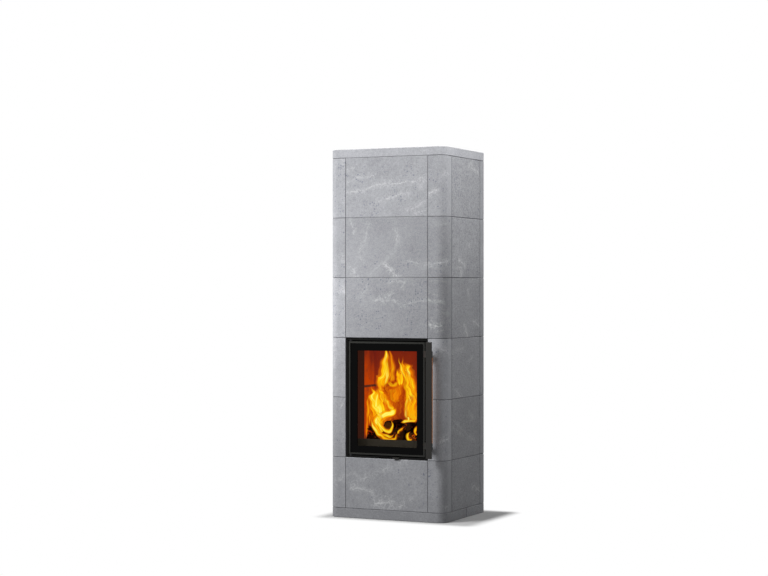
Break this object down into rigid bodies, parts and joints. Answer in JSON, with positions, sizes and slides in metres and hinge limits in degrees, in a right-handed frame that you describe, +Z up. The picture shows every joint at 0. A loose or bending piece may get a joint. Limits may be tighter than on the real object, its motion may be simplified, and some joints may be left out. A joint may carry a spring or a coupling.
{
  "type": "masonry heater",
  "caption": "Slim free-standing soapstone masonry heater with rounded front corners, a tall glazed steel fire door on a left hinge, a bar handle and a sliding air lever.",
  "frame": {"origin": "on the floor, under the centre of the stone body", "axes": "+Z up, +X to the right seen from the front, +Y towards the back; the door is on the -Y side"},
  "size_m": [0.592, 0.511, 1.723],
  "materials": {
    "soapstone": "honed",
    "firebrick": "matte",
    "insulation_board": "matte",
    "fibre_seal": "knitted",
    "sleeve_steel": "mill",
    "cast_iron": "rough",
    "heat_stained_steel": "matte",
    "charred_wood": "charred",
    "black_steel": "matte",
    "pin_steel": "turned",
    "leaf_steel": "satin",
    "ceramic_glass": "clear with a black border",
    "handle_steel": "satin",
    "grip_wood": "oiled"
  },
  "bodies": {
    "root": {"plinth_front_slab": "soapstone", "plinth_rear_slab": "soapstone", "top_slab": "soapstone", "back_slab_course_1": "soapstone", "back_slabs_upper": "soapstone", "corner_stone_left_course_1": "soapstone", "corner_stone_right_course_1": "soapstone", "side_panels_course_1": "soapstone", "corner_stone_left_course_2": "soapstone", "corner_stone_right_course_2": "soapstone", "side_panels_course_2": "soapstone", "corner_stone_left_course_3": "soapstone", "corner_stone_right_course_3": "soapstone", "side_panels_course_3": "soapstone", "corner_stone_left_course_4": "soapstone", "corner_stone_right_course_4": "soapstone", "side_panels_course_4": "soapstone", "corner_stone_left_course_5": "soapstone", "corner_stone_right_course_5": "soapstone", "side_panels_course_5": "soapstone", "corner_stone_left_course_6": "soapstone", "corner_stone_right_course_6": "soapstone", "side_panels_course_6": "soapstone", "front_panel_course_1": "soapstone", "front_panel_course_4": "soapstone", "front_panel_course_5": "soapstone", "front_panel_course_6": "soapstone", "base_blocks": "firebrick", "collector_cover": "firebrick", "hearth_slab": "firebrick", "firebox_side_bricks": "firebrick", "firebox_back_bricks": "firebrick", "firebox_lintel": "firebrick", "throat_slab": "firebrick", "riser_blocks": "firebrick", "core_cap": "firebrick", "rear_mass_blocks": "firebrick", "insulation_boards": "insulation_board", "frame_fibre_seal": "fibre_seal", "flue_collar": "sleeve_steel", "air_inlet_sleeve": "sleeve_steel", "ash_pan": "sleeve_steel", "grate": "cast_iron", "log_retainer": "heat_stained_steel", "firewood_logs": "charred_wood", "door_frame": "black_steel", "frame_studs": "black_steel", "hinge_pins": "pin_steel"},
    "door": {"door_leaf": "leaf_steel", "door_glass": "ceramic_glass", "glass_gaskets": "fibre_seal", "glass_retainer": "black_steel", "door_gasket": "fibre_seal", "latch_housing": "black_steel", "handle_bar": "handle_steel", "handle_grip": "grip_wood", "handle_arms": "handle_steel"},
    "latch": {"latch_plunger": "pin_steel"},
    "air_control": {"air_slide": "black_steel", "air_lever": "black_steel"}
  },
  "joints": [
    {"name": "door_swing", "type": "hinge", "parent": "root", "child": "door", "pos_m": [-0.1885, -0.223, 0.56], "axis": [0, 0, -1], "range_deg": [0, 110]},
    {"name": "latch_press", "type": "slide", "parent": "door", "child": "latch", "axis": [-1, 0, 0], "range_m": [0, 0.008], "stiffness_N_per_m": 200, "springref_m": -0.005},
    {"name": "air_slide_travel", "type": "slide", "parent": "root", "child": "air_control", "axis": [-1, 0, 0], "range_m": [0, 0.09]}
  ]
}
